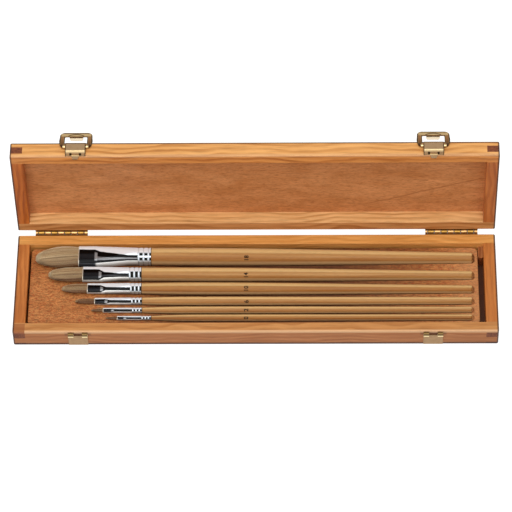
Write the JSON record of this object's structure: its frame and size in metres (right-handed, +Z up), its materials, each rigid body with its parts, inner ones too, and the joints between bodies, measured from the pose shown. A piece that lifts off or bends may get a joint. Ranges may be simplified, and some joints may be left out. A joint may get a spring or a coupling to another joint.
{
  "type": "wooden brush box",
  "caption": "Long hinged wooden box standing open, with finger-jointed corners, two sprung latches and a grooved insert board that holds long-handled filbert brushes.",
  "frame": {"origin": "centre of the base's underside, with the box standing on a table", "axes": "+X runs right along the case, +Y towards the hinged side, +Z up"},
  "size_m": [0.37, 0.122, 0.115],
  "materials": {
    "case_wood": "satin varnish",
    "panel_wood": "satin varnish",
    "insert_wood": "sanded and oiled",
    "handle_wood": "clear lacquer",
    "hinge_brass": "plated, satin",
    "screw_brass": "plated",
    "latch_brass": "aged, satin",
    "ferrule_nickel": "polished nickel",
    "brush_hair": "natural bristle"
  },
  "bodies": {
    "base": {"base_front_wall": "case_wood", "base_rear_wall": "case_wood", "base_left_wall": "case_wood", "base_right_wall": "case_wood", "base_panel": "panel_wood", "insert_stop_block": "case_wood", "left_hinge_base_leaf": "hinge_brass", "right_hinge_base_leaf": "hinge_brass", "left_hinge_pin": "hinge_brass", "right_hinge_pin": "hinge_brass", "hinge_base_screws": "screw_brass", "left_latch_catch": "latch_brass", "right_latch_catch": "latch_brass"},
    "lid": {"lid_front_wall": "case_wood", "lid_rear_wall": "case_wood", "lid_left_wall": "case_wood", "lid_right_wall": "case_wood", "lid_panel": "panel_wood", "left_hinge_lid_leaf": "hinge_brass", "right_hinge_lid_leaf": "hinge_brass", "hinge_lid_screws": "screw_brass", "left_latch_plate": "latch_brass", "right_latch_plate": "latch_brass", "left_latch_pivot": "latch_brass", "right_latch_pivot": "latch_brass"},
    "left_loop": {"left_latch_loop": "latch_brass"},
    "right_loop": {"right_latch_loop": "latch_brass"},
    "insert": {"insert_board": "insert_wood"},
    "brush_18": {"brush_18_handle": "handle_wood", "brush_18_ferrule": "ferrule_nickel", "brush_18_hair": "brush_hair"},
    "brush_14": {"brush_14_handle": "handle_wood", "brush_14_ferrule": "ferrule_nickel", "brush_14_hair": "brush_hair"},
    "brush_10": {"brush_10_handle": "handle_wood", "brush_10_ferrule": "ferrule_nickel", "brush_10_hair": "brush_hair"},
    "brush_6": {"brush_6_handle": "handle_wood", "brush_6_ferrule": "ferrule_nickel", "brush_6_hair": "brush_hair"},
    "brush_2": {"brush_2_handle": "handle_wood", "brush_2_ferrule": "ferrule_nickel", "brush_2_hair": "brush_hair"},
    "brush_0": {"brush_0_handle": "handle_wood", "brush_0_ferrule": "ferrule_nickel", "brush_0_hair": "brush_hair"}
  },
  "joints": [
    {"name": "lid_hinge", "type": "hinge", "parent": "base", "child": "lid", "pos_m": [0, 0.04865, 0.01735], "axis": [-1, 0, 0], "range_deg": [-90, 80]},
    {"name": "left_latch_swing", "type": "hinge", "parent": "lid", "child": "left_loop", "pos_m": [-0.1352, 0.0568, 0.1138], "axis": [-1, 0, 0], "range_deg": [-194, 0]},
    {"name": "right_latch_swing", "type": "hinge", "parent": "lid", "child": "right_loop", "pos_m": [0.1352, 0.0568, 0.1138], "axis": [-1, 0, 0], "range_deg": [-194, 0]},
    {"name": "insert_lift", "type": "slide", "parent": "base", "child": "insert", "axis": [0, 0, 1], "range_m": [0, 0.05]},
    {"name": "brush_18_lift", "type": "slide", "parent": "insert", "child": "brush_18", "axis": [0, 0, 1], "range_m": [0, 0.04]},
    {"name": "brush_14_lift", "type": "slide", "parent": "insert", "child": "brush_14", "axis": [0, 0, 1], "range_m": [0, 0.04]},
    {"name": "brush_10_lift", "type": "slide", "parent": "insert", "child": "brush_10", "axis": [0, 0, 1], "range_m": [0, 0.04]},
    {"name": "brush_6_lift", "type": "slide", "parent": "insert", "child": "brush_6", "axis": [0, 0, 1], "range_m": [0, 0.04]},
    {"name": "brush_2_lift", "type": "slide", "parent": "insert", "child": "brush_2", "axis": [0, 0, 1], "range_m": [0, 0.04]},
    {"name": "brush_0_lift", "type": "slide", "parent": "insert", "child": "brush_0", "axis": [0, 0, 1], "range_m": [0, 0.04]}
  ]
}
